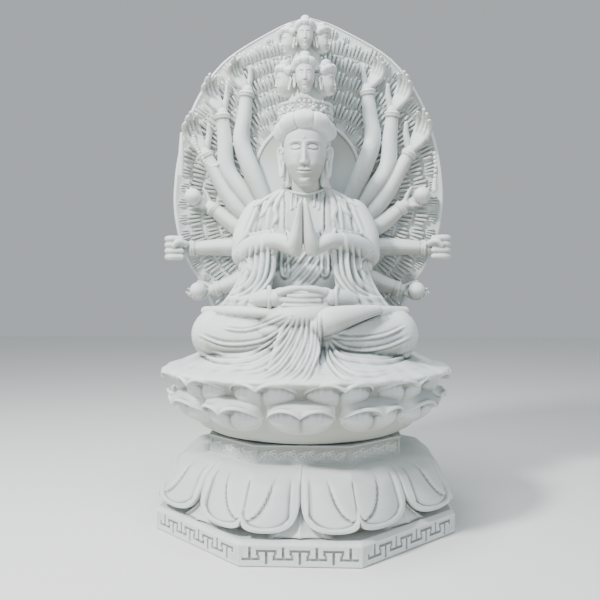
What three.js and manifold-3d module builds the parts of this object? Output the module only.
// A seated, thousand-armed Guanyin carved in pale stone. Three stones stand on each other by
// their own weight: an eight-sided pedestal with hanging petals, the figure in one with its
// round lotus seat, and behind it the pointed aureole in one with its fan of arms.
// Millimetres, +Z up, the figure faces -Y, +X is to the viewer's right.
// The origin is the middle of the pedestal's underside.
import * as THREE from "three";
import { mergeVertices } from "three/addons/utils/BufferGeometryUtils.js";
import Module from "manifold-3d";

const wasm = await Module();
wasm.setup();

// Driving dimensions.
const bedJoint = 0.3; // between two stones that touch
const lap = 10; // how far one carved form is let into the next so that they are one stone

const plateHalf = 695; // middle of the plate to its front face
const plateFaceHalf = 250; // half the length of the front face
const plateHeight = 105;
const plateBevel = 17;
const fretGroove = 10; // width of a sunk line of the fret
const fretDepth = 9;
const fretMargin = 10; // bare stone above and below the fret
const fretPitch = 82; // from one mark of the fret to the next

const waistHalf = 447;
const waistFaceHalf = 208;
const waistHeight = 92;
const cushionHeight = 241; // hanging petals, from the plate's top to the waist's foot
const panelDepth = 5; // sunk panels of the waist
const panelMargin = 16;

const seatHeight = 302;
const seatFootRadius = 0.962 * waistHalf; // the seat stands within the waist's faces
const seatTopRadius = 0.921 * plateHalf;
const petalsPerRow = 12;
const lowerTipRadius = 0.993 * plateHalf; // the petals reach as far out as the plate
const upperTipRadius = 1.029 * plateHalf;
const lowerTipHeight = 162; // tip of the lower petals above the seat's underside
const upperTipHeight = 287;

const figureHeight = 1799; // seat to the aureole's point
const figureBackY = 70; // the figure ends in a plane against the aureole's stone
const backHalf = 460; // half the width of that plane over the seat
const aureoleThickness = 115;
const aureoleGroundY = 165; // front of the slab, behind the arms
const haloRadius = 280;
const haloThickness = 14;

const pedestalHeight = plateHeight + cushionHeight + waistHeight;
const seatFootZ = pedestalHeight + bedJoint;
const seatTopZ = seatFootZ + seatHeight;
const figureFootZ = seatTopZ + bedJoint;

// The figure is carved by proportion: its places are shares of its height, counted from its foot.
const share = (part) => part * figureHeight;
const up = (part) => figureFootZ + share(part);

const stone = { color: 0xdfe3e2, roughness: 0.62, metalness: 0 };

// How finely each stone is faceted.
const facets = { pedestal: 1900, figure: 5000, aureole: 2800 };

// Solids.

function solidOf(geometry) {
  const bare = geometry.index ? geometry.toNonIndexed() : geometry.clone();
  bare.deleteAttribute("normal");
  bare.deleteAttribute("uv");
  const merged = mergeVertices(bare, 1e-3);
  const vertProperties = merged.attributes.position.array;
  const triVerts = new Uint32Array(merged.index.array);
  const every = [...Array(triVerts.length / 3).keys()];
  if (enclosed(vertProperties, triVerts, every) < 0) {
    for (let i = 0; i < triVerts.length; i += 3) {
      [triVerts[i + 1], triVerts[i + 2]] = [triVerts[i + 2], triVerts[i + 1]];
    }
  }
  return new wasm.Manifold(new wasm.Mesh({ numProp: 3, vertProperties, triVerts }));
}

// The volume that some of a surface's triangles enclose, negative where they face inwards.
function enclosed(points, corners, triangles) {
  const point = (k) => new THREE.Vector3().fromArray(points, 3 * corners[k]);
  let sum = 0;
  for (const t of triangles) {
    sum += point(3 * t).dot(point(3 * t + 1).cross(point(3 * t + 2))) / 6;
  }
  return sum;
}

function join(solids) {
  let row = solids;
  while (row.length > 1) {
    const next = [];
    for (let i = 0; i < row.length; i += 2) {
      next.push(i + 1 < row.length ? row[i].add(row[i + 1]) : row[i]);
    }
    row = next;
  }
  return row[0];
}

// The triangles of a solid's outer skins, without the skins of hollows that overlapping
// bodies close off between them.
function solidSkin(points, corners) {
  const owner = Int32Array.from({ length: points.length / 3 }, (_, i) => i);
  const find = (i) => {
    while (owner[i] !== i) {
      owner[i] = owner[owner[i]];
      i = owner[i];
    }
    return i;
  };
  for (let k = 0; k < corners.length; k += 3) {
    owner[find(corners[k + 1])] = find(corners[k]);
    owner[find(corners[k + 2])] = find(corners[k]);
  }
  const skins = new Map();
  for (let t = 0; t < corners.length / 3; t++) {
    const root = find(corners[3 * t]);
    if (!skins.has(root)) skins.set(root, []);
    skins.get(root).push(t);
  }
  const kept = [...skins.values()].filter((list) => enclosed(points, corners, list) > 0);
  return kept.flat().flatMap((t) => [...corners.subarray(3 * t, 3 * t + 3)]);
}

// Merges the edges whose loss changes the surface least until few enough triangles are left.
// A vertex carries the planes round it; level and upright bedding planes weigh most, so that
// they stay where they are.
class Carving {
  constructor(points, corners) {
    this.place = [];
    for (let i = 0; i < points.length; i += 3) {
      this.place.push(new THREE.Vector3().fromArray(points, i));
    }
    this.faces = [];
    this.around = this.place.map(() => new Set());
    this.planes = this.place.map(() => new Float64Array(10));
    this.version = this.place.map(() => 0);
    for (let t = 0; t < corners.length; t += 3) {
      const face = [corners[t], corners[t + 1], corners[t + 2]];
      this.faces.push(face);
      const cross = this.crossOf(face);
      const area = cross.length();
      for (const v of face) this.around[v].add(this.faces.length - 1);
      if (area < 1e-9) continue;
      const n = cross.divideScalar(area);
      const bedded = Math.abs(n.z) > 0.9999 || Math.abs(n.y) > 0.9999;
      const plane = [n.x, n.y, n.z, -n.dot(this.place[face[0]])];
      for (const v of face) this.addPlane(this.planes[v], plane, area * (bedded ? 1000 : 1));
    }
    this.left = this.faces.length;
  }

  crossOf([a, b, c], moved = [], to = null) {
    const at3 = (v) => (moved.includes(v) ? to : this.place[v]);
    const ab = new THREE.Vector3().subVectors(at3(b), at3(a));
    const ac = new THREE.Vector3().subVectors(at3(c), at3(a));
    return ab.cross(ac);
  }

  // A triangle's height over its longest side.
  heightOf(face, moved = [], to = null) {
    const corner = face.map((v) => (moved.includes(v) ? to : this.place[v]));
    const longest = Math.max(...corner.map((p, i) => p.distanceTo(corner[(i + 1) % 3])));
    return this.crossOf(face, moved, to).length() / longest;
  }

  // Turns the long side of a sliver over, where both triangles become less narrow by it.
  turnSlivers(rounds = 8) {
    for (let round = 0; round < rounds; round++) {
      this.faces.forEach((face, f) => {
        if (!face || this.heightOf(face) > 1) return;
        const sides = face.map((v, i) => this.place[v].distanceTo(this.place[face[(i + 1) % 3]]));
        const k = sides.indexOf(Math.max(...sides));
        const [u, v, w] = [face[k], face[(k + 1) % 3], face[(k + 2) % 3]];
        const g = [...this.around[u]].find((h) => h !== f && this.faces[h].includes(v));
        const other = this.faces[g];
        const x = other.find((c) => c !== u && c !== v);
        if (this.neighbours(w).has(x)) return;
        const [one, two] = [[w, u, x], [w, x, v]];
        const before = Math.min(this.heightOf(face), this.heightOf(other));
        if (Math.min(this.heightOf(one), this.heightOf(two)) <= before) return;
        this.faces[f] = one;
        this.faces[g] = two;
        this.around[v].delete(f);
        this.around[u].delete(g);
        this.around[w].add(g);
        this.around[x].add(f);
      });
    }
  }

  addPlane(sum, plane, weight) {
    let k = 0;
    for (let i = 0; i < 4; i++) {
      for (let j = i; j < 4; j++) sum[k++] += weight * plane[i] * plane[j];
    }
  }

  costAt(sum, p) {
    const v = [p.x, p.y, p.z, 1];
    let [cost, k] = [0, 0];
    for (let i = 0; i < 4; i++) {
      for (let j = i; j < 4; j++) cost += (i === j ? 1 : 2) * sum[k++] * v[i] * v[j];
    }
    return Math.max(0, cost);
  }

  neighbours(v) {
    const found = new Set();
    for (const f of this.around[v]) this.faces[f].forEach((w) => w !== v && found.add(w));
    return found;
  }

  candidate(a, b) {
    const sum = this.planes[a].map((value, k) => value + this.planes[b][k]);
    const middle = this.place[a].clone().lerp(this.place[b], 0.5);
    let best = null;
    for (const to of [this.place[a], this.place[b], middle]) {
      const cost = this.costAt(sum, to);
      if (!best || cost < best.cost) best = { cost, to: to.clone() };
    }
    const length = this.place[a].distanceTo(this.place[b]);
    const tiny = length < 0.5;
    best.cost = tiny ? 1e-9 * length : best.cost + 1e-4 * length ** 2;
    return { ...best, a, b, tiny, stamp: this.version[a] + this.version[b] };
  }

  allowed({ a, b, to, tiny }) {
    const shared = [...this.neighbours(a)].filter((v) => this.neighbours(b).has(v));
    if (shared.length !== 2) return false;
    if (tiny) return true;
    for (const f of new Set([...this.around[a], ...this.around[b]])) {
      const face = this.faces[f];
      if (face.includes(a) && face.includes(b)) continue;
      const narrow = this.heightOf(face, [a, b], to);
      if (narrow < 0.5 && narrow < this.heightOf(face)) return false;
      const before = this.crossOf(face);
      const after = this.crossOf(face, [a, b], to);
      if (before.lengthSq() < 1) continue;
      if (before.normalize().dot(after.normalize()) < 0.35) return false;
    }
    return true;
  }

  merge({ a, b, to }) {
    this.place[a] = to;
    this.planes[b].forEach((value, k) => (this.planes[a][k] += value));
    for (const f of [...this.around[b]]) {
      const face = this.faces[f];
      if (face.includes(a)) {
        face.forEach((v) => this.around[v].delete(f));
        this.faces[f] = null;
        this.left -= 1;
      } else {
        face[face.indexOf(b)] = a;
        this.around[a].add(f);
      }
    }
    this.around[b].clear();
    this.version[a] += 1;
    this.version[b] += 1;
  }

  thin(wanted) {
    const heap = new Heap();
    this.place.forEach((_, a) => {
      for (const b of this.neighbours(a)) if (a < b) heap.push(this.candidate(a, b));
    });
    while (this.left > wanted && heap.size) {
      const next = heap.pop();
      if (next.stamp !== this.version[next.a] + this.version[next.b]) continue;
      if (!this.around[next.a].size || !this.around[next.b].size) continue;
      if (!this.neighbours(next.a).has(next.b) || !this.allowed(next)) continue;
      this.merge(next);
      for (const other of this.neighbours(next.a)) {
        heap.push(this.candidate(next.a, other));
      }
    }
    this.turnSlivers();
    this.partTouching();
    return this.geometry();
  }

  // Two skins that touch at one point are parted there by a hair.
  partTouching() {
    const [near, hair] = [0.03, 0.08];
    const cells = new Map();
    this.place.forEach((p, v) => {
      if (!this.around[v].size) return;
      const cell = p.toArray().map((value) => Math.floor(value / near));
      for (const dx of [-1, 0, 1]) {
        for (const dy of [-1, 0, 1]) {
          for (const dz of [-1, 0, 1]) {
            const there = cells.get([cell[0] + dx, cell[1] + dy, cell[2] + dz].join());
            if (!there || there.distanceTo(p) > near) continue;
            const inward = new THREE.Vector3();
            for (const f of this.around[v]) inward.sub(this.crossOf(this.faces[f]));
            p.addScaledVector(inward.normalize(), hair);
          }
        }
      }
      cells.set(cell.join(), p.clone());
    });
  }

  geometry() {
    const positions = [];
    const order = new Map();
    const corners = [];
    for (const face of this.faces) {
      if (!face) continue;
      for (const v of face) {
        if (!order.has(v)) {
          order.set(v, order.size);
          positions.push(...this.place[v].toArray());
        }
        corners.push(order.get(v));
      }
    }
    const geometry = new THREE.BufferGeometry();
    geometry.setAttribute("position", new THREE.Float32BufferAttribute(positions, 3));
    geometry.setIndex(corners);
    return geometry;
  }
}

// A queue that gives back the cheapest of what it holds.
class Heap {
  constructor() {
    this.items = [];
  }

  get size() {
    return this.items.length;
  }

  push(item) {
    const { items } = this;
    items.push(item);
    let i = items.length - 1;
    while (i > 0) {
      const parent = (i - 1) >> 1;
      if (items[parent].cost <= items[i].cost) break;
      [items[parent], items[i]] = [items[i], items[parent]];
      i = parent;
    }
  }

  pop() {
    const { items } = this;
    const top = items[0];
    const last = items.pop();
    if (items.length) {
      items[0] = last;
      let i = 0;
      for (;;) {
        const [left, right] = [2 * i + 1, 2 * i + 2];
        let least = i;
        if (left < items.length && items[left].cost < items[least].cost) least = left;
        if (right < items.length && items[right].cost < items[least].cost) least = right;
        if (least === i) break;
        [items[least], items[i]] = [items[i], items[least]];
        i = least;
      }
    }
    return top;
  }
}

function meshOf(name, solid, triangles) {
  const { vertProperties, triVerts, numProp } = solid.getMesh();
  const points = new Float32Array((vertProperties.length / numProp) * 3);
  for (let i = 0; i < points.length / 3; i++) {
    points.set(vertProperties.subarray(i * numProp, i * numProp + 3), i * 3);
  }
  const skin = solidSkin(points, triVerts);
  const carving = new Carving(points, skin);
  const mesh = new THREE.Mesh(carving.thin(triangles), new THREE.MeshStandardMaterial(stone));
  mesh.name = name;
  return mesh;
}

// A closed skin through rings of as many points each; both end rings are convex.
function loft(rings) {
  const count = rings[0].length;
  const positions = [];
  const triangle = (...corners) => corners.forEach((p) => positions.push(p.x, p.y, p.z));
  for (let r = 0; r + 1 < rings.length; r++) {
    for (let i = 0; i < count; i++) {
      const j = (i + 1) % count;
      const [a, b, c, d] = [rings[r][i], rings[r][j], rings[r + 1][j], rings[r + 1][i]];
      triangle(a, b, c);
      triangle(a, c, d);
    }
  }
  const [first, last] = [rings[0], rings[rings.length - 1]];
  for (let i = 1; i + 1 < count; i++) {
    triangle(first[0], first[i + 1], first[i]);
    triangle(last[0], last[i], last[i + 1]);
  }
  const geometry = new THREE.BufferGeometry();
  geometry.setAttribute("position", new THREE.Float32BufferAttribute(positions, 3));
  return solidOf(geometry);
}

// A limb: rings across a path, one radius for each point, with blunt ends where it is thick.
function limb(path, radii, sides = 8, flat = 1) {
  const rings = [];
  const blunt = sides > 6;
  let across = null;
  path.forEach((point, i) => {
    const ahead = path[Math.min(i + 1, path.length - 1)];
    const behind = path[Math.max(i - 1, 0)];
    const along = new THREE.Vector3().subVectors(ahead, behind).normalize();
    if (!across) {
      across = Math.abs(along.y) < 0.9 ? new THREE.Vector3(0, 1, 0) : new THREE.Vector3(1, 0, 0);
    }
    across = across.clone().addScaledVector(along, -across.dot(along)).normalize();
    const side = new THREE.Vector3().crossVectors(along, across);
    const ringAt = (centre, radius) =>
      Array.from({ length: sides }, (_, k) => {
        const turn = (2 * Math.PI * (k + 0.5)) / sides;
        return centre
          .clone()
          .addScaledVector(across, radius * flat * Math.cos(turn))
          .addScaledVector(side, radius * Math.sin(turn));
      });
    const radius = radii[i];
    if (blunt && i === 0) {
      rings.push(ringAt(point.clone().addScaledVector(along, -0.5 * radius), 0.6 * radius));
    }
    rings.push(ringAt(point, radius));
    if (blunt && i === path.length - 1) {
      rings.push(ringAt(point.clone().addScaledVector(along, 0.5 * radius), 0.6 * radius));
    }
  });
  return loft(rings);
}

function ellipsoid(centre, radii, around = 12, over = 8) {
  const geometry = new THREE.SphereGeometry(1, around, over);
  geometry.rotateX(Math.PI / 2);
  geometry.scale(radii.x, radii.y, radii.z);
  geometry.translate(centre.x, centre.y, centre.z);
  return solidOf(geometry);
}

function box(low, high) {
  const size = new THREE.Vector3().subVectors(high, low);
  const geometry = new THREE.BoxGeometry(size.x, size.y, size.z);
  geometry.translate(low.x + size.x / 2, low.y + size.y / 2, low.z + size.z / 2);
  return solidOf(geometry);
}

const at = (x, y, z) => new THREE.Vector3(x, y, z);
const mix = THREE.MathUtils.lerp;
const degrees = THREE.MathUtils.degToRad;

// A level section of a body: rounder or squarer by its power, deeper in front than behind.
function section(z, halfWidth, front, back, power = 2.4, count = 20, ripple = () => 0) {
  return Array.from({ length: count }, (_, i) => {
    const turn = (2 * Math.PI * i) / count;
    const [c, s] = [Math.cos(turn), Math.sin(turn)];
    const bend = (value) => Math.sign(value) * Math.abs(value) ** (2 / power);
    const swell = 1 + ripple(turn);
    const depth = (back - front) / 2;
    return at(halfWidth * bend(c) * swell, (front + back) / 2 + depth * bend(s) * swell, z);
  });
}

// Pedestal.

// Corner points of the eight-sided plan, from the right end of the front face round.
function octagon(half, faceHalf, z) {
  const corners = [];
  for (let quarter = 0; quarter < 4; quarter++) {
    const turn = (quarter * Math.PI) / 2;
    for (const [x, y] of [[faceHalf, -half], [half, -faceHalf]]) {
      corners.push(at(x, y, z).applyAxisAngle(at(0, 0, 1), turn));
    }
  }
  return corners;
}

// Runs task for each of the eight faces with its middle, its direction and its outward normal.
function eachFace(half, faceHalf, task) {
  const corners = octagon(half, faceHalf, 0);
  corners.forEach((from, i) => {
    const to = corners[(i + 1) % 8];
    const along = new THREE.Vector3().subVectors(to, from);
    const length = along.length();
    along.normalize();
    const middle = from.clone().add(to).multiplyScalar(0.5);
    task({ middle, along, length, outward: at(along.y, -along.x, 0), diagonal: i % 2 === 0 });
  });
}

// A flat outline drawn on a face, x along it and y up, cut from its surface inwards.
function onFace(outline, depth, face) {
  const outside = 4;
  const geometry = new THREE.ExtrudeGeometry(new THREE.Shape(outline), {
    depth: depth + outside,
    bevelEnabled: false,
  });
  const place = new THREE.Matrix4().makeBasis(face.along, at(0, 0, 1), face.outward);
  place.setPosition(face.middle.clone().addScaledVector(face.outward, -depth));
  geometry.applyMatrix4(place);
  return solidOf(geometry);
}

// One mark of the fret: a T, or a T turned over, drawn with a line of one width.
function fretMark(x, barHalf, low, high, upright) {
  const line = fretGroove / 2;
  const inset = 0.3 * (high - low);
  const [barZ, stemEnd] = upright ? [high - inset, low] : [low + inset, high];
  const way = upright ? -1 : 1;
  return [
    [x - barHalf, barZ - way * line],
    [x + barHalf, barZ - way * line],
    [x + barHalf, barZ + way * line],
    [x + line, barZ + way * line],
    [x + line, stemEnd],
    [x - line, stemEnd],
    [x - line, barZ + way * line],
    [x - barHalf, barZ + way * line],
  ].map(([px, pz]) => new THREE.Vector2(px, pz));
}

function plate() {
  const sideTop = plateHeight - plateBevel;
  const taper = 1 - plateBevel / plateHalf;
  let solid = loft([
    octagon(plateHalf, plateFaceHalf, 0),
    octagon(plateHalf, plateFaceHalf, sideTop),
    octagon(plateHalf * taper, plateFaceHalf * taper, plateHeight),
  ]);
  const marks = [];
  eachFace(plateHalf, plateFaceHalf, (face) => {
    const count = Math.floor((face.length - fretPitch * 0.4) / fretPitch);
    for (let i = 0; i < count; i++) {
      const x = (i - (count - 1) / 2) * fretPitch;
      const outline = fretMark(x, 0.36 * fretPitch, fretMargin, sideTop - fretMargin, i % 2 === 1);
      marks.push(onFace(outline, fretDepth, face));
    }
  });
  return solid.subtract(join(marks));
}

// The profile of the hanging petals, from the waist's foot outwards and down to the lip:
// share of the plate's half width, and share of the cushion's height.
const petalProfile = [
  [0.66, 1.0],
  [0.84, 1.08],
  [0.93, 0.99],
  [0.965, 0.7],
  [0.962, 0.4],
  [0.945, 0.19],
  [0.92, 0.09],
];

// How wide a hanging petal still is, from its top to its lip.
function petalWidth(v) {
  const straight = 0.55;
  return v < straight ? 1 : Math.sqrt(Math.max(0.02, 1 - ((v - straight) / 0.46) ** 2));
}

// A petal wraps a corner of the plan, from the middle of one face to the middle of the next.
function hangingPetal(corner, before, after) {
  const across = [-1.03, -0.85, -0.4, 0, 0.4, 0.85, 1.03]; // neighbours grow into each other
  const heart = 0.66; // the petal's inner side is hidden in the core
  const swell = 0.0216 * plateHalf;
  const rings = petalProfile.map(([out, rise], row) => {
    const v = row / (petalProfile.length - 1);
    const z = plateHeight + rise * cushionHeight;
    const scale = out;
    const point = (u, grow) => {
      const w = u * petalWidth(v);
      const plan = w < 0 ? corner.clone().lerp(before, -w) : corner.clone().lerp(after, w);
      const lobe = Math.abs(u) < 0.9 ? swell * Math.sin(Math.PI * Math.min(1, Math.abs(u) / 0.9)) : 0;
      const size = grow * scale + (grow === 1 && row > 1 ? lobe / plateHalf : 0);
      return at(plan.x * size, plan.y * size, z);
    };
    const outer = across.map((u) => point(u, 1));
    const inner = [across[6], across[0]].map((u) => point(u, heart));
    return [...outer, ...inner];
  });
  return loft(rings);
}

// The tip of a second petal shows at the foot of each face, between two hanging ones.
function footPetal(face) {
  const [width, rise, ridge] = [0.17 * plateHalf, 0.55 * cushionHeight, 0.049 * plateHalf];
  const root = plateHeight - 0.2 * lap;
  const inner = face.middle.clone().multiplyScalar(0.8);
  const place = (out, side, z) =>
    face.middle.clone().multiplyScalar(out).addScaledVector(face.along, side).setZ(z);
  const foot = [
    place(0.885, -width, root),
    place(0.9 + ridge / plateHalf, 0, root),
    place(0.885, width, root),
    inner.clone().setZ(root),
  ];
  const lip = [
    place(0.905, -width, plateHeight + 0.058 * cushionHeight),
    place(0.935, 0, plateHeight + 0.1 * cushionHeight),
    place(0.905, width, plateHeight + 0.058 * cushionHeight),
    inner.clone().setZ(plateHeight + 0.058 * cushionHeight),
  ];
  const tip = [
    place(0.87, -0.1 * width, plateHeight + rise),
    place(0.9, 0, plateHeight + rise),
    place(0.87, 0.1 * width, plateHeight + rise),
    inner.clone().setZ(plateHeight + rise),
  ];
  return loft([foot, lip, tip]);
}

function pedestal() {
  const cushionTop = plateHeight + cushionHeight;
  const corners = octagon(plateHalf, plateFaceHalf, 0);
  const middles = [];
  eachFace(plateHalf, plateFaceHalf, (face) => middles.push(face.middle));
  const petals = corners.map((corner, i) => hangingPetal(corner, middles[(i + 7) % 8], middles[i]));
  const core = loft([
    octagon(0.87 * plateHalf, 0.87 * plateFaceHalf, plateHeight - 0.2 * lap),
    octagon(0.89 * plateHalf, 0.89 * plateFaceHalf, plateHeight + 0.5 * cushionHeight),
    octagon(0.85 * plateHalf, 0.85 * plateFaceHalf, plateHeight + 0.95 * cushionHeight),
    octagon(waistHalf, waistFaceHalf, cushionTop),
    octagon(waistHalf, waistFaceHalf, pedestalHeight),
  ]);
  const foots = [];
  eachFace(plateHalf, plateFaceHalf, (face) => foots.push(footPetal(face)));
  const panels = [];
  eachFace(waistHalf, waistFaceHalf, (face) => {
    const half = face.length / 2 - panelMargin;
    const [low, high] = [cushionTop + panelMargin, pedestalHeight - panelMargin];
    const outline = [[-half, low], [half, low], [half, high], [-half, high]];
    panels.push(onFace(outline.map(([x, z]) => new THREE.Vector2(x, z)), panelDepth, face));
  });
  return join([plate(), core, ...petals, ...foots]).subtract(join(panels));
}

// Lotus seat.

// The radial section of a seat petal: how far out and how high each point is, from the hidden
// root below, over the swollen body, the lip and its crest, back to the root above.
const petalSection = [
  [0.0, 0.0],
  [0.68, 0.14],
  [0.84, 0.56],
  [1.0, 0.66],
  [0.84, 0.92],
  [0.0, 0.96],
];

function seatPetal(angle, tipRadius, rootRadius, footZ, crestZ) {
  const halfAngle = 0.485 * ((2 * Math.PI) / petalsPerRow);
  const across = [-1, -0.62, -0.26, 0, 0.26, 0.62, 1];
  const reach = tipRadius - rootRadius;
  const rings = across.map((u) => {
    const fullness = Math.sqrt(1 - 0.8 * u * u);
    const cusp = 0.1 * Math.exp(-((u / 0.22) ** 2));
    const turn = angle + u * halfAngle;
    return petalSection.map(([out, rise], k) => {
      const onLip = k === 3;
      const onBody = k === 1 || k === 2;
      const lobe = onBody ? 0.07 * Math.cos(Math.PI * Math.min(1, Math.abs(u) / 0.4)) : 0;
      const radius = rootRadius + reach * (out * fullness + lobe * fullness);
      const drop = onLip ? cusp : 0;
      const z = mix(footZ, crestZ, rise - drop - 0.12 * u * u * rise);
      return at(radius * Math.sin(turn), -radius * Math.cos(turn), z);
    });
  });
  return loft(rings);
}

function lotusSeat() {
  const flare = [
    [0, 0],
    [0.214, 0.066],
    [0.62, 0.248],
    [0.76, 0.43],
    [0.88, 0.695],
    [1.057, 0.914],
    [1, 1],
  ].map(([out, rise]) => new THREE.Vector2(mix(seatFootRadius, seatTopRadius, out), rise * seatHeight));
  const bowl = [new THREE.Vector2(0, 0), ...flare, new THREE.Vector2(0, seatHeight)];
  const turned = new THREE.LatheGeometry(bowl, 2 * petalsPerRow);
  turned.rotateX(Math.PI / 2);
  turned.translate(0, 0, seatFootZ);
  const pitch = (2 * Math.PI) / petalsPerRow;
  const petals = [];
  for (let i = 0; i < petalsPerRow; i++) {
    const lower = [0.26, 1.34].map((rise) => seatFootZ + rise * lowerTipHeight);
    const upper = [seatFootZ + 0.547 * upperTipHeight, seatTopZ - bedJoint];
    petals.push(seatPetal(i * pitch, lowerTipRadius, 0.725 * lowerTipRadius, ...lower));
    petals.push(seatPetal((i + 0.5) * pitch, upperTipRadius, 0.755 * upperTipRadius, ...upper));
  }
  return join([solidOf(turned), ...petals]);
}

// Figure: robe and legs.

// A crossed leg under the robe: x out from the middle, turn 0 in front and 90 on top.
const leg = {
  reach: share(0.294),
  depth: share(0.14),
  height: share(0.074),
  backY: share(-0.128),
  midZ: up(0.098),
};

function legPoint(x, turn, grow = 0) {
  const t = Math.min(1, x / leg.reach);
  const depth = leg.depth * Math.sqrt(Math.max(0.004, 1 - t ** 3.2)) + grow;
  const height = leg.height * Math.sqrt(Math.max(0.004, 1 - t ** 3.6)) + grow;
  const bend = (value) => Math.sign(value) * Math.abs(value) ** 0.86;
  return at(x, leg.backY - depth * bend(Math.cos(turn)), leg.midZ + height * bend(Math.sin(turn)));
}

function crossedLeg(side) {
  const legSides = 16;
  const steps = [0, 0.4, 0.68, 0.86, 0.96, 1];
  const rings = steps.map((t) =>
    Array.from({ length: legSides }, (_, i) => {
      const p = legPoint(t * leg.reach, (2 * Math.PI * i) / legSides);
      return at(side * p.x, p.y, p.z);
    }),
  );
  return loft(rings);
}

// Folds of the robe sag across each knee from the middle of the lap.
function kneeFolds(side) {
  const folds = [];
  const count = 3;
  const steps = 5;
  for (let i = 0; i < count; i++) {
    const path = [];
    for (let k = 0; k <= steps; k++) {
      const t = mix(0.2, 0.95, k / steps);
      const start = mix(62, 30, i / (count - 1));
      const low = mix(34, -42, i / (count - 1));
      const sag = Math.sin(Math.PI * Math.min(1, (k / steps) * 1.05)) ** 0.8;
      const p = legPoint(t * leg.reach, degrees(mix(start, low, sag) - 4 * (k / steps)), 1);
      path.push(at(side * p.x, p.y, p.z));
    }
    folds.push(limb(path, path.map(() => share(0.0065)), 3));
  }
  return folds;
}

function robeSkirt() {
  return loft([
    section(seatTopZ - 20, share(0.335), share(-0.352), share(0.145), 2.3, 24),
    section(figureFootZ + share(0.01), share(0.33), share(-0.345), share(0.142), 2.3, 24),
    section(up(0.028), share(0.285), share(-0.29), share(0.135), 2.4, 24),
    section(up(0.07), share(0.22), share(-0.22), share(0.13), 2.5, 24),
    section(up(0.13), share(0.17), share(-0.17), share(0.12), 2.6, 24),
    section(up(0.168), share(0.14), share(-0.14), share(0.11), 2.6, 24),
  ]);
}

// The apron falls from the lap between the knees and lies over the seat's edge.
function apron() {
  const flutes = [];
  const count = 5;
  for (let i = 0; i < count; i++) {
    const s = i / (count - 1);
    const top = at(mix(share(-0.03), share(0.018), s), share(-0.205), up(0.165));
    const waist = at(mix(share(-0.06), share(0.02), s), share(-0.262), up(0.105));
    const knee = at(mix(share(-0.115), share(0.015), s), share(-0.3), up(0.05));
    const hem = at(mix(share(-0.2), share(0.0), s), share(-0.345), up(0.01));
    const path = [top, waist, knee, hem];
    flutes.push(limb(path, [0.013, 0.018, 0.024, 0.019].map(share), 4));
  }
  return flutes;
}

// The foot that lies sole up on the far thigh, and the cloth end that lies on the near one.
function footOnThigh() {
  const path = [
    at(share(0.028), share(-0.21), up(0.142)),
    at(share(0.1), share(-0.215), up(0.15)),
    at(share(0.185), share(-0.205), up(0.166)),
  ];
  return limb(path, [share(0.036), share(0.028), share(0.013)], 10);
}

function clothOnThigh() {
  const path = [
    at(share(-0.03), share(-0.2), up(0.164)),
    at(share(-0.13), share(-0.215), up(0.168)),
    at(share(-0.222), share(-0.18), up(0.172)),
  ];
  return limb(path, [share(0.012), share(0.013), share(0.014)], 6);
}

// Figure: body, sleeves and hands.

function torso() {
  const heights = [
    [0.13, 0.12, -0.105, 0.085, 2.3],
    [0.19, 0.106, -0.1, 0.085, 2.3],
    [0.27, 0.112, -0.105, 0.085, 2.3],
    [0.36, 0.132, -0.108, 0.085, 2.4],
    [0.425, 0.146, -0.095, 0.085, 2.5],
    [0.452, 0.128, -0.078, 0.075, 2.4],
    [0.472, 0.082, -0.062, 0.05, 2.2],
    [0.485, 0.046, -0.05, 0.03, 2],
    [0.515, 0.038, -0.052, 0.022, 2],
  ];
  return loft(
    heights.map(([h, half, front, back, power]) =>
      section(up(h), share(half), share(front), share(back), power, 16),
    ),
  );
}

// The opening of the outer robe hangs in flat folds on either side of the breast.
function robeFronts(side) {
  const bands = [];
  for (const [x, width] of [[0.055, 0.013], [0.098, 0.015]]) {
    const path = [
      at(side * share(x * 0.9), share(-0.07), up(0.458)),
      at(side * share(x), share(-0.098), up(0.42)),
      at(side * share(x), share(-0.106), up(0.35)),
      at(side * share(x), share(-0.104), up(0.28)),
    ];
    bands.push(limb(path, path.map(() => share(width)), 4));
  }
  return bands;
}

function prayingArm(side) {
  const shoulder = at(side * share(0.122), share(-0.012), up(0.422));
  const elbow = at(side * share(0.165), share(-0.045), up(0.3));
  const cuff = at(side * share(0.075), share(-0.165), up(0.33));
  const wrist = at(side * share(0.03), share(-0.2), up(0.325));
  return [
    limb([shoulder, shoulder.clone().lerp(elbow, 0.55), elbow], [0.05, 0.049, 0.044].map(share), 8),
    limb([elbow, cuff], [share(0.042), share(0.036)], 8),
    limb([cuff, wrist], [share(0.024), share(0.021)], 6),
  ];
}

// The wide sleeve falls in flutes from the forearm and trails outwards over the thigh.
function sleeve(side) {
  const rings = [];
  const rows = [
    [0.345, 0.112, 0.04, -0.125, 0.032],
    [0.24, 0.128, 0.056, -0.14, 0.038],
    [0.165, 0.165, 0.088, -0.17, 0.042],
  ];
  for (const [h, x, half, y, thick] of rows) {
    const ripple = (turn) => 0.1 * Math.cos(8 * turn);
    const ring = section(up(h), share(half), share(y - thick), share(y + thick), 2.2, 16, ripple);
    rings.push(ring.map((p) => at(p.x + side * share(x), p.y, p.z)));
  }
  const under = ellipsoid(
    at(side * share(0.158), share(-0.06), up(0.235)),
    at(share(0.042), share(0.06), share(0.055)),
    8,
    6,
  );
  return [loft(rings), under];
}

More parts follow.
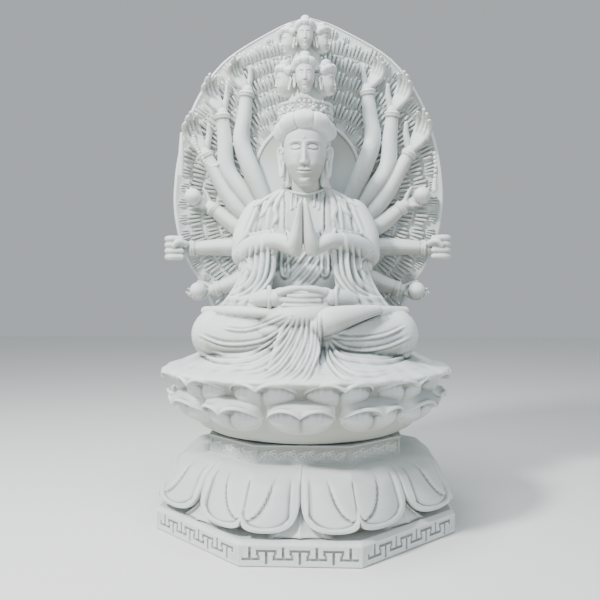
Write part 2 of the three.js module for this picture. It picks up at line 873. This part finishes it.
function prayingHands() {
  const palms = [-1, 1].map((side) =>
    limb(
      [
        at(side * share(0.013), share(-0.198), up(0.315)),
        at(side * share(0.013), share(-0.202), up(0.36)),
        at(side * share(0.01), share(-0.198), up(0.4)),
        at(side * share(0.004), share(-0.19), up(0.438)),
      ],
      [0.015, 0.016, 0.013, 0.006].map(share),
      6,
      1.9,
    ),
  );
  return palms;
}

function lapHands() {
  const reach = share(0.088);
  const path = [-1, -0.55, 0, 0.55, 1].map((t) =>
    at(t * reach, share(-0.225 + 0.035 * t * t), up(0.192 + 0.003 * t * t)),
  );
  const cuffs = [-1, 1].map((side) =>
    limb(
      [
        at(side * share(0.068), share(-0.212), up(0.193)),
        at(side * share(0.075), share(-0.205), up(0.194)),
      ],
      [share(0.03), share(0.03)],
      8,
    ),
  );
  return [limb(path, [0.024, 0.024, 0.022, 0.024, 0.024].map(share), 8), ...cuffs];
}

// Heads.

// A head with a swept cap of hair: middle of the face, size from chin to hairline, and the
// turn of its face about the upright from straight ahead.
function head(centre, size, facing, detail) {
  const put = (x, y, z) =>
    at(x * size, y * size, z * size).applyAxisAngle(at(0, 0, 1), facing).add(centre);
  const round = (x, y, z) => at(x * size, y * size, z * size);
  const parts = [
    ellipsoid(put(0, 0, 0), round(0.41, 0.45, 0.56), detail, detail),
    ellipsoid(put(0, 0.06, 0.34), round(0.53, 0.52, 0.36), detail, Math.ceil(detail / 2)),
    loft([
      [put(-0.08, -0.2, 0.18), put(0.08, -0.2, 0.18), put(0, -0.47, 0.18)],
      [put(-0.13, -0.2, -0.14), put(0.13, -0.2, -0.14), put(0, -0.57, -0.12)],
    ]),
    limb([put(0, 0.04, -0.3), put(0, 0.1, -0.72)], [0.26 * size, 0.27 * size], 6),
  ];
  for (const side of [-1, 1]) {
    const ear = [put(side * 0.37, 0.04, 0.16), put(side * 0.41, 0.04, -0.42)];
    parts.push(limb(ear, [0.1 * size, 0.07 * size], 4));
  }
  return join(parts);
}

const headSize = share(0.142);
const headMid = at(0, share(-0.055), up(0.565));

function hairRoll() {
  const lobes = 11;
  const swell = (turn) => 0.07 * Math.cos(lobes * (turn + Math.PI / 2));
  return loft(
    [[0.625, 0.062], [0.64, 0.079], [0.66, 0.078], [0.677, 0.062]].map(([h, radius]) =>
      section(
        up(h),
        share(radius),
        headMid.y - share(radius * 0.93),
        headMid.y + share(radius * 0.93),
        2,
        2 * lobes,
        radius > 0.07 ? swell : () => 0,
      ),
    ),
  );
}

// Locks fall from behind the ears over the shoulders.
function locks(side) {
  const made = [];
  for (const [spread, drop] of [[0.1, 0.4]]) {
    const path = [
      at(side * share(0.04), share(-0.03), up(0.5)),
      at(side * share(0.06), share(-0.062), up(0.473)),
      at(side * share(spread * 0.9), share(-0.088), up(0.44)),
      at(side * share(spread), share(-0.098), up(drop)),
    ];
    made.push(limb(path, [0.02, 0.02, 0.018, 0.008].map(share), 4));
  }
  return made;
}

function crown() {
  const rings = [
    [0.672, 0.066],
    [0.69, 0.07],
    [0.712, 0.079],
  ].map(([h, radius]) => section(up(h), share(radius), headMid.y - share(radius), share(0.02), 2, 16));
  const peak = limb(
    [at(0, headMid.y - share(0.07), up(0.69)), at(0, headMid.y - share(0.078), up(0.715))],
    [share(0.034), share(0.022)],
    6,
    0.35,
  );
  return [loft(rings), peak];
}

// Smaller heads stand in tiers on the crown: height, size, distance from the middle, facings.
function headTiers() {
  const tiers = [
    { height: 0.762, size: share(0.066), out: share(0.046), facings: [0, 78, -78] },
    { height: 0.868, size: share(0.064), out: share(0.04), facings: [0, 72, -72] },
  ];
  const made = [];
  for (const { height, size, out, facings } of tiers) {
    for (const angle of facings) {
      const turn = degrees(angle);
      const place = at(out * Math.sin(turn), headMid.y + share(0.012) - out * Math.cos(turn), up(height));
      made.push(head(place, size, turn, 7));
      made.push(
        ellipsoid(
          place.clone().add(at(0, 0.06 * size, 0.72 * size)),
          at(0.3 * size, 0.3 * size, 0.26 * size),
          6,
          4,
        ),
      );
    }
  }
  return made;
}

// Aureole.

// Half of the slab's outline, from the middle of its foot round to its point.
const aureoleOutline = [
  [0.24, 0],
  [0.262, 0.1],
  [0.296, 0.2],
  [0.36, 0.31],
  [0.389, 0.42],
  [0.391, 0.52],
  [0.372, 0.64],
  [0.325, 0.77],
  [0.24, 0.882],
  [0.09, 0.972],
];

function aureoleHalfWidth(height) {
  for (let i = 0; i + 1 < aureoleOutline.length; i++) {
    const [[w0, h0], [w1, h1]] = [aureoleOutline[i], aureoleOutline[i + 1]];
    if (height >= h0 && height <= h1) return mix(w0, w1, (height - h0) / (h1 - h0));
  }
  return 0;
}

function aureoleSlab() {
  const side = aureoleOutline.map(([w, h]) => new THREE.Vector2(share(w), up(h)));
  const rising = new THREE.SplineCurve([...side, new THREE.Vector2(0, up(1))]).getPoints(18);
  const outline = [...rising, ...rising.slice(0, -1).reverse().map((p) => new THREE.Vector2(-p.x, p.y))];
  const geometry = new THREE.ExtrudeGeometry(new THREE.Shape(outline), {
    depth: aureoleThickness,
    bevelEnabled: false,
  });
  geometry.rotateX(Math.PI / 2);
  geometry.translate(0, aureoleGroundY + aureoleThickness, 0);
  return solidOf(geometry);
}

function halo() {
  const disc = new THREE.CylinderGeometry(haloRadius, haloRadius, haloThickness + lap, 28);
  disc.translate(0, aureoleGroundY - haloThickness / 2 + lap / 2, 0);
  disc.translate(0, 0, up(0.55));
  return solidOf(disc);
}

// Rings of small hands stand out from the slab, all pointing away from the halo's middle.
function smallHands() {
  const hands = [];
  const middleZ = up(0.52);
  for (const [ring, count] of [[share(0.24), 18], [share(0.325), 24]]) {
    for (let i = 0; i < count; i++) {
      const turn = degrees(mix(-36, 216, i / (count - 1)));
      const [x, z] = [ring * Math.cos(turn), middleZ + ring * Math.sin(turn) * 1.12];
      if (Math.abs(x) > share(aureoleHalfWidth((z - figureFootZ) / figureHeight)) - share(0.019)) continue;
      const outward = at(Math.cos(turn), 0, Math.sin(turn));
      const tangent = at(-Math.sin(turn), 0, Math.cos(turn));
      const corner = (along, aside, y) =>
        at(x, y, z).addScaledVector(outward, along).addScaledVector(tangent, aside);
      const lozenge = (size, y) => [
        corner(-size, 0, y),
        corner(0.22 * size, 0.64 * size, y),
        corner(1.05 * size, 0, y),
        corner(0.22 * size, -0.64 * size, y),
      ];
      const [behind, front] = [aureoleGroundY + 0.4 * lap, aureoleGroundY - share(0.0072)];
      hands.push(loft([lozenge(share(0.0256), behind), lozenge(share(0.0172), front)]));
    }
  }
  return hands;
}

// Stone left behind the tiers of heads, up to the plane that ends the figure.
function headBacking() {
  return loft([
    section(up(0.68), share(0.05), headMid.y, figureBackY + lap, 3, 16),
    section(up(0.9), share(0.045), headMid.y, figureBackY + lap, 3, 16),
    section(up(0.945), share(0.02), headMid.y + share(0.03), figureBackY + lap, 3, 16),
  ]);
}

// Stone left on the slab behind the figure's body and behind its heads.
function slabBacking() {
  const front = 0.43 * figureBackY;
  const back = aureoleGroundY + lap;
  return [
    loft([
      section(up(-0.005), share(0.2), front, back, 4, 16),
      section(up(0.16), share(0.17), front, back, 4, 16),
      section(up(0.4), share(0.14), front, back, 4, 16),
      section(up(0.46), share(0.1), front, back, 4, 16),
    ]),
    loft([
      section(up(0.6), share(0.03), front, back, 3, 12),
      section(up(0.9), share(0.045), front, back, 3, 12),
      section(up(0.95), share(0.012), front, back, 3, 12),
    ]),
  ];
}

// Fan of arms. Each row: shoulder, elbow, wrist and fingertips as shares of the height, across
// and up; what the hand does; and how far in front of the slab it is held.
const armRows = [
  { shoulder: [0.12, 0.45], elbow: [0.188, 0.638], wrist: [0.173, 0.785], tip: [0.238, 0.86], holds: "open" },
  { shoulder: [0.14, 0.42], elbow: [0.23, 0.562], wrist: [0.245, 0.722], tip: [0.31, 0.81], holds: "open" },
  { shoulder: [0.15, 0.385], elbow: [0.235, 0.5], wrist: [0.297, 0.608], tip: [0.36, 0.705], holds: "open" },
  { shoulder: [0.155, 0.365], elbow: [0.225, 0.41], wrist: [0.278, 0.452], tip: [0.372, 0.475], holds: "ball" },
  { shoulder: [0.15, 0.337], elbow: [0.255, 0.335], wrist: [0.342, 0.332], tip: [0.4, 0.33], holds: "fist" },
  { shoulder: [0.14, 0.262], elbow: [0.21, 0.232], wrist: [0.268, 0.213], tip: [0.352, 0.178], holds: "ball" },
];
const armRadius = share(0.0235);
const armRows3d = armRows.map((row, i) => {
  const depth = row.holds === "fist" ? share(-0.005) : aureoleGroundY - armRadius * 0.75;
  const lift = i === 5 ? share(0.03) : depth;
  return { ...row, depth: lift };
});

function openHand(wrist, tip, side, y) {
  const along = new THREE.Vector3().subVectors(tip, wrist);
  const length = along.length();
  along.normalize();
  const across = at(-along.z, 0, along.x);
  const palmEnd = wrist.clone().addScaledVector(along, 0.5 * length);
  const parts = [limb([wrist, palmEnd], [share(0.016), share(0.021)], 6, 0.6)];
  for (let finger = 0; finger < 4; finger++) {
    const spread = (finger - 1.5) * share(0.0095);
    const root = palmEnd.clone().addScaledVector(across, spread * 0.9);
    const end = root.clone().addScaledVector(along, length * (0.5 - 0.05 * Math.abs(finger - 1.3)));
    end.addScaledVector(across, spread * 0.5).setY(y - share(0.006));
    parts.push(limb([root, end], [share(0.0062), share(0.004)], 3));
  }
  const thumbEnd = wrist.clone().addScaledVector(along, 0.42 * length);
  thumbEnd.addScaledVector(across, side * share(0.034)).setY(y - share(0.012));
  parts.push(limb([wrist.clone().addScaledVector(along, 0.12 * length), thumbEnd],
    [share(0.009), share(0.005)], 3));
  return parts;
}

function fist(wrist, side) {
  const parts = [];
  const middle = wrist.clone().add(at(side * share(0.024), share(-0.004), share(-0.002)));
  parts.push(ellipsoid(middle, at(share(0.028), share(0.03), share(0.036)), 8, 6));
  for (let finger = 0; finger < 4; finger++) {
    const z = middle.z + (1.5 - finger) * share(0.0165);
    const y = middle.y - share(0.024);
    parts.push(
      limb([at(middle.x - share(0.022), y, z), at(middle.x + share(0.022), y, z)],
        [share(0.0098), share(0.0098)], 5),
    );
  }
  return parts;
}

function fanArm(row, side) {
  const place = ([x, h]) => at(side * share(x), row.depth, up(h));
  const [shoulder, elbow, wrist, tip] = [row.shoulder, row.elbow, row.wrist, row.tip].map(place);
  shoulder.setY(mix(aureoleGroundY, row.depth, 0.2)); // rooted in the slab
  const parts = [
    limb([shoulder, elbow, wrist], [armRadius * 1.15, armRadius * 1.08, armRadius * 0.75], 6),
    limb(
      [wrist.clone().lerp(elbow, 0.06), wrist.clone().lerp(elbow, 0.02)],
      [armRadius * 0.98, armRadius * 0.98],
      6,
    ),
  ];
  if (row.holds === "fist") return [...parts, ...fist(wrist, side)];
  parts.push(...openHand(wrist, tip, side, row.depth));
  if (row.holds === "ball") {
    const held = wrist.clone().lerp(tip, 0.62).add(at(0, -share(0.008), share(0.022)));
    parts.push(ellipsoid(held, at(share(0.026), share(0.026), share(0.026)), 8, 5));
  }
  return parts;
}

const beyond = 2000;

function figure() {
  const parts = [
    robeSkirt(),
    footOnThigh(),
    clothOnThigh(),
    torso(),
    ...apron(),
    ...prayingHands(),
    ...lapHands(),
    head(headMid, headSize, 0, 12),
    hairRoll(),
    ...crown(),
    ...headTiers(),
    headBacking(),
  ];
  for (const side of [-1, 1]) {
    parts.push(crossedLeg(side), ...kneeFolds(side), ...robeFronts(side));
    parts.push(...prayingArm(side), ...sleeve(side), ...locks(side));
  }
  const behind = box(at(-backHalf, figureBackY, seatTopZ), at(backHalf, beyond, 2 * beyond));
  return join(parts).subtract(behind);
}

function aureole() {
  const parts = [aureoleSlab(), halo(), ...slabBacking(), ...smallHands()];
  for (const side of [-1, 1]) {
    armRows3d.forEach((row) => parts.push(...fanArm(row, side)));
  }
  const figureRoom = box(
    at(-share(0.2), -beyond, 0),
    at(share(0.2), figureBackY + bedJoint, 2 * beyond),
  );
  const belowFoot = box(at(-beyond, -beyond, -10), at(beyond, beyond, figureFootZ));
  return join(parts).subtract(figureRoom).subtract(belowFoot);
}

const statue = new THREE.Group();
statue.add(meshOf("pedestal", pedestal(), facets.pedestal));
statue.add(meshOf("seated_figure", lotusSeat().add(figure()), facets.figure));
statue.add(meshOf("aureole", aureole(), facets.aureole));

export default statue;
